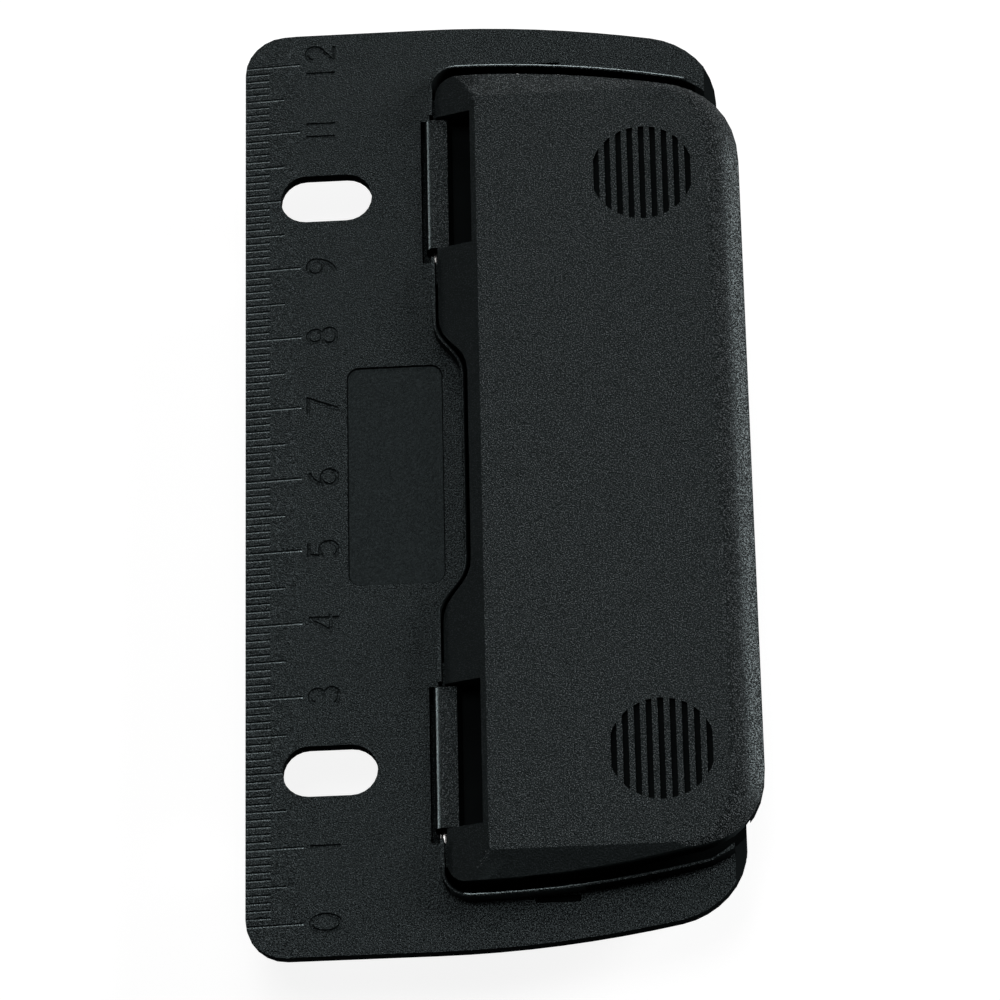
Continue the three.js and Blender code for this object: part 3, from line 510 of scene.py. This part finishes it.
def groove(stroke, left):
    """A flat-bottomed groove along a stroke."""
    line = [Vector((DIGIT_TOP + DIGIT_HEIGHT * (1 - up), left + DIGIT_WIDTH * across))
            for across, up in stroke_points(stroke)]
    closed = (line[0] - line[-1]).length < STROKE_WIDTH * JOIN_SHARE
    if closed:
        line.pop()
    profiles = []
    for i, point in enumerate(line):
        before = line[i - 1] if i or closed else point * 2 - line[1]
        after = line[(i + 1) % len(line)] if i + 1 < len(line) or closed else point * 2 - line[-2]
        coming = (point - before).normalized()
        going = (after - point).normalized()
        middle = (coming + going).normalized()
        reach = STROKE_WIDTH / 2 * min(MITRE_LIMIT, 1 / max(middle.dot(going), 1 / MITRE_LIMIT))
        side = Vector((-middle.y, middle.x)) * reach
        inner = side * STROKE_FLOOR_SHARE
        low, high = PLATE_TOP - STROKE_DEPTH, PLATE_TOP + CUT_OVERRUN
        profiles.append([
            place(*(point - inner), low), place(*(point + inner), low), place(*(point + side), PLATE_TOP),
            place(*(point + side), high), place(*(point - side), high), place(*(point - side), PLATE_TOP),
        ])
    return skin(profiles, closed)


def numeral(number):
    """The strokes of a number centred on its tick, in two sets."""
    text = str(number)
    middle = number * CENTIMETRE - RULER_LENGTH / 2
    pitch = ONE_PITCH if text == "11" else DIGIT_PITCH
    sets = ([], [])
    for i, digit in enumerate(text):
        left = middle + (i - (len(text) - 1) / 2) * pitch - DIGIT_WIDTH / 2
        for strokes, bodies in zip(DIGIT_SHARES[digit], sets):
            bodies.extend(groove(stroke, left) for stroke in strokes)
    return sets


def tick_length(millimetre):
    """How long the tick for a whole millimetre is."""
    if millimetre % CENTIMETRE == 0:
        return CENTIMETRE_TICK
    return HALF_TICK if millimetre % HALF_CENTIMETRE == 0 else MILLIMETRE_TICK


def cutter(name, bodies):
    """One mesh of separate closed bodies, to cut with."""
    mesh = bmesh.new()
    for points, faces in bodies:
        corners = [mesh.verts.new(point) for point in points]
        for face in faces:
            mesh.faces.new([corners[i] for i in face])
    bmesh.ops.recalc_face_normals(mesh, faces=mesh.faces)
    return to_object(name, mesh)


def engraved(mesh):
    """The plate's mesh with the ruler cut into it."""
    plate = to_object("plate_before_cuts", mesh)
    start = -RULER_LENGTH / 2
    first = [tick(start + i, tick_length(i)) for i in range(RULER_LENGTH + 1)]
    second = []
    for number in NUMERALS:
        one, other = numeral(number)
        first.extend(one)
        second.extend(other)
    tools = [cutter("first_cuts", first), cutter("second_cuts", second)]
    for tool in tools:
        cut = plate.modifiers.new(tool.name, "BOOLEAN")
        cut.operation = "DIFFERENCE"
        cut.solver = "EXACT"
        cut.object = tool
    bpy.context.view_layer.update()
    result = bmesh.new()
    result.from_object(plate, bpy.context.evaluated_depsgraph_get())
    for leftover in [plate, *tools]:
        used = leftover.data
        bpy.data.objects.remove(leftover)
        bpy.data.meshes.remove(used)
    return result


# The pieces

def in_label(face, centre):
    """The label's recess, and the sides of grooves that look down the ruler: they get the shaded copy of
    the plastic.
    """
    return in_recess(centre) or (face.normal.z < LEVEL_TILT and centre.z < PLATE_TOP)


def in_recess(centre):
    """The floor of the label's recess."""
    x = from_edge(centre) - LABEL_LEFT
    inside = 0 < x < LABEL_WIDTH and abs(centre.y) < LABEL_LENGTH / 2
    return inside and abs(centre.z - PLATE_TOP + LABEL_DEPTH) < LABEL_DEPTH * LEVEL_PLAY_SHARE


def on_slope(face, centre):
    """Rounded edges and sides of grooves that look up the ruler, towards the lamps: they get the lit copy
    of the plastic, which is shinier.
    """
    return face.normal.z < LEVEL_TILT and face.normal.y > SLOPE_TILT


def on_knuckle(face, centre):
    """The crown of the lever's knuckles, which gets the lit copy of the plastic."""
    return from_edge(centre) < KNEE_LEFT and CROWN_TILT < face.normal.z < LEVEL_TILT


def on_flank(face, centre):
    """The lever's slopes on the hinge side and at its near end, which get the shaded copy of the plastic.
    """
    return face.normal.z < LEVEL_TILT and max(face.normal.x, face.normal.y) < SLOPE_TILT


def below_plate(face, centre):
    """The well and the slopes that look to the front, which get painted shade."""
    looks_front = face.normal.z < LEVEL_TILT and face.normal.x > FRONT_TILT
    return centre.z < PLATE_TOP - WELL_SHADE_DEPTH or looks_front


def nowhere(face, centre):
    """No face at all."""
    return False


def in_shade(face, centre):
    """The lever's faces under the plate's top and in the grooves of its pads, which get painted shade."""
    across = from_edge(centre) - PUNCH_X
    along = abs(centre.y) - HOLE_SPACING / 2
    top = LEVER_TOP - PAD_DEPTH * PAD_SHADE_TOP_SHARE
    floor = LEVER_TOP - PAD_DEPTH * PAD_SHADE_FLOOR_SHARE
    in_pad = floor < centre.z < top and math.hypot(across, along) < PAD_RADIUS
    return centre.z < PLATE_TOP or in_pad


def make_plate():
    """The plate, with the ruler, and a line of painted shade round the label's recess."""
    mesh = bare_mesh(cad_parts["ruler_plate"])
    edges = outer_edges(mesh, PLATE_TOP - PLATE_THICKNESS - WELD)
    lip = [edge for edge in edges if min(vertex.co.z for vertex in edge.verts) > (LIP_TOP - WELD) * MM]
    others = [edge for edge in edges if edge not in set(lip)]
    round_edges(mesh, others, PLATE_EDGE, EDGE_STEPS)
    lip = [edge for edge in lip if edge.is_valid]
    round_edges(mesh, lip, LIP_EDGE, EDGE_STEPS)
    mesh = engraved(mesh)
    shade(mesh)
    recess = [face for face in mesh.faces if in_recess(face.calc_center_median() / MM)]
    # A line of painted shade round the label's recess
    line = bmesh.ops.inset_region(mesh, faces=recess, thickness=LABEL_SHADE_LINE * MM)["faces"]
    finish_faces(mesh, below_plate, in_label, on_slope)
    for face in line:
        face.material_index = PAINTED_SHADE
    finish_piece("moulded_plate", mesh, "ruler_plate", "base", "plate_plastic")


def make_lever():
    """The lever, with a softer edge round its face."""
    mesh = bare_mesh(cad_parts["lever"])
    round_edges(mesh, crest_edges(mesh), CREST_EDGE, CREST_STEPS)
    round_edges(mesh, outer_edges(mesh, PLATE_TOP), LEVER_EDGE, EDGE_STEPS)
    shade(mesh)
    finish_faces(mesh, in_shade, on_flank, on_knuckle)
    finish_piece("moulded_lever", mesh, "lever", "lever", "lever_plastic")


def make_body(name, node, body):
    """A piece under the plate, all in its own grain but for its walls, which get painted shade."""
    mesh = bare_mesh(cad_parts[node])
    round_edges(mesh, outer_edges(mesh, LOWEST_EDGE), BODY_EDGE, EDGE_STEPS)
    shade(mesh)
    finish_faces(mesh, nowhere, nowhere, nowhere)
    finish_piece(name, mesh, node, body, "body_plastic")


def make_spring(name, node):
    """A return spring on a mesh of its own, carried by the base."""
    piece = linked(name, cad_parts[node].data.copy())
    piece.matrix_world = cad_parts[node].matrix_world.copy()
    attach(piece, "base")
    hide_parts(node)
    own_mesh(piece)


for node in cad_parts.values():
    for entry in node.material_slots:
        entry.material = MATERIALS[entry.material.name]

make_plate()
make_lever()
make_body("moulded_die_body", "die_body", "base")
make_body("moulded_tray", "chip_tray", "tray")
for side in ("lower", "upper"):
    make_spring(f"wound_spring_{side}", f"return_spring_{side}")


# Floor, light and camera

def seen_or_lit(tree, seen, lit, output):
    """What the camera and reflections see, and what lights the object."""
    path = tree.nodes.new("ShaderNodeLightPath")
    sight = path.outputs["Is Camera Ray"]
    for ray in ("Is Glossy Ray", "Is Transmission Ray"):
        either = tree.nodes.new("ShaderNodeMath")
        either.operation = "MAXIMUM"
        tree.links.new(sight, either.inputs[0])
        tree.links.new(path.outputs[ray], either.inputs[1])
        sight = either.outputs[0]
    mix = tree.nodes.new("ShaderNodeMixShader")
    tree.links.new(sight, mix.inputs[0])
    tree.links.new(lit.outputs[0], mix.inputs[1])
    tree.links.new(seen.outputs[0], mix.inputs[2])
    tree.links.new(mix.outputs[0], output.inputs[0])


def add_floor():
    """A pale floor just under the part, which takes its soft shadow."""
    half = FLOOR_SIZE / 2
    mesh = bpy.data.meshes.new("floor")
    low = -FLOOR_GAP * MM
    corners = [(-half, -half, low), (half, -half, low), (half, half, low), (-half, half, low)]
    mesh.from_pydata(corners, [], [(0, 1, 2, 3)])
    floor = linked("floor", mesh)
    grey = (FLOOR_COLOUR, FLOOR_COLOUR, FLOOR_COLOUR)
    material, tree, shader, _ = new_material("floor_paper", grey, FLOOR_ROUGHNESS)
    shaded = tree.nodes.new("ShaderNodeBsdfDiffuse")
    shaded.inputs["Color"].default_value = (FLOOR_SHADE, FLOOR_SHADE, FLOOR_SHADE, 1)
    glow = tree.nodes.new("ShaderNodeEmission")
    glow.inputs["Strength"].default_value = FLOOR_GLOW
    both = tree.nodes.new("ShaderNodeAddShader")
    tree.links.new(shaded.outputs[0], both.inputs[0])
    tree.links.new(glow.outputs[0], both.inputs[1])
    seen_or_lit(tree, both, shader, tree.nodes["Material Output"])
    mesh.materials.append(material)


def add_world():
    """An even sky, brighter near the horizon."""
    world = bpy.data.worlds.new("studio")
    bpy.context.scene.world = world
    world.use_nodes = True
    tree = world.node_tree
    fill = tree.nodes["Background"]
    direction = tree.nodes.new("ShaderNodeSeparateXYZ")
    tree.links.new(tree.nodes.new("ShaderNodeTexCoord").outputs["Generated"], direction.inputs[0])
    level = tree.nodes.new("ShaderNodeMapRange")
    level.inputs["From Max"].default_value = SKY_BAND
    level.inputs["To Min"].default_value = SKY_LOW
    level.inputs["To Max"].default_value = SKY_HIGH
    tree.links.new(direction.outputs["Z"], level.inputs["Value"])
    tree.links.new(level.outputs["Result"], fill.inputs["Strength"])


def add_lamp(name, spot, size, power):
    """A square lamp that faces the part."""
    light = bpy.data.lights.new(name, "AREA")
    light.energy = power
    light.size = size
    lamp = linked(name, light)
    lamp.location = spot
    lamp.rotation_euler = Vector(spot).to_track_quat("Z", "Y").to_euler()


def add_camera():
    """The photograph's camera."""
    right = Vector(CAMERA_RIGHT).normalized()
    up = Vector(CAMERA_UP)
    up = (up - right * up.dot(right)).normalized()
    back = right.cross(up)
    turn = Matrix((right, up, back)).transposed()
    data = bpy.data.cameras.new("camera")
    data.lens = CAMERA_LENS
    data.sensor_width = CAMERA_SENSOR
    camera = linked("camera", data)
    camera.matrix_world = Matrix.Translation(CAMERA_PLACE) @ turn.to_4x4()
    bpy.context.scene.camera = camera


add_floor()
add_world()
for name, (spot, size, power) in LAMPS.items():
    add_lamp(name, spot, size, power)
add_camera()
bpy.context.scene.view_settings.view_transform = "Standard"
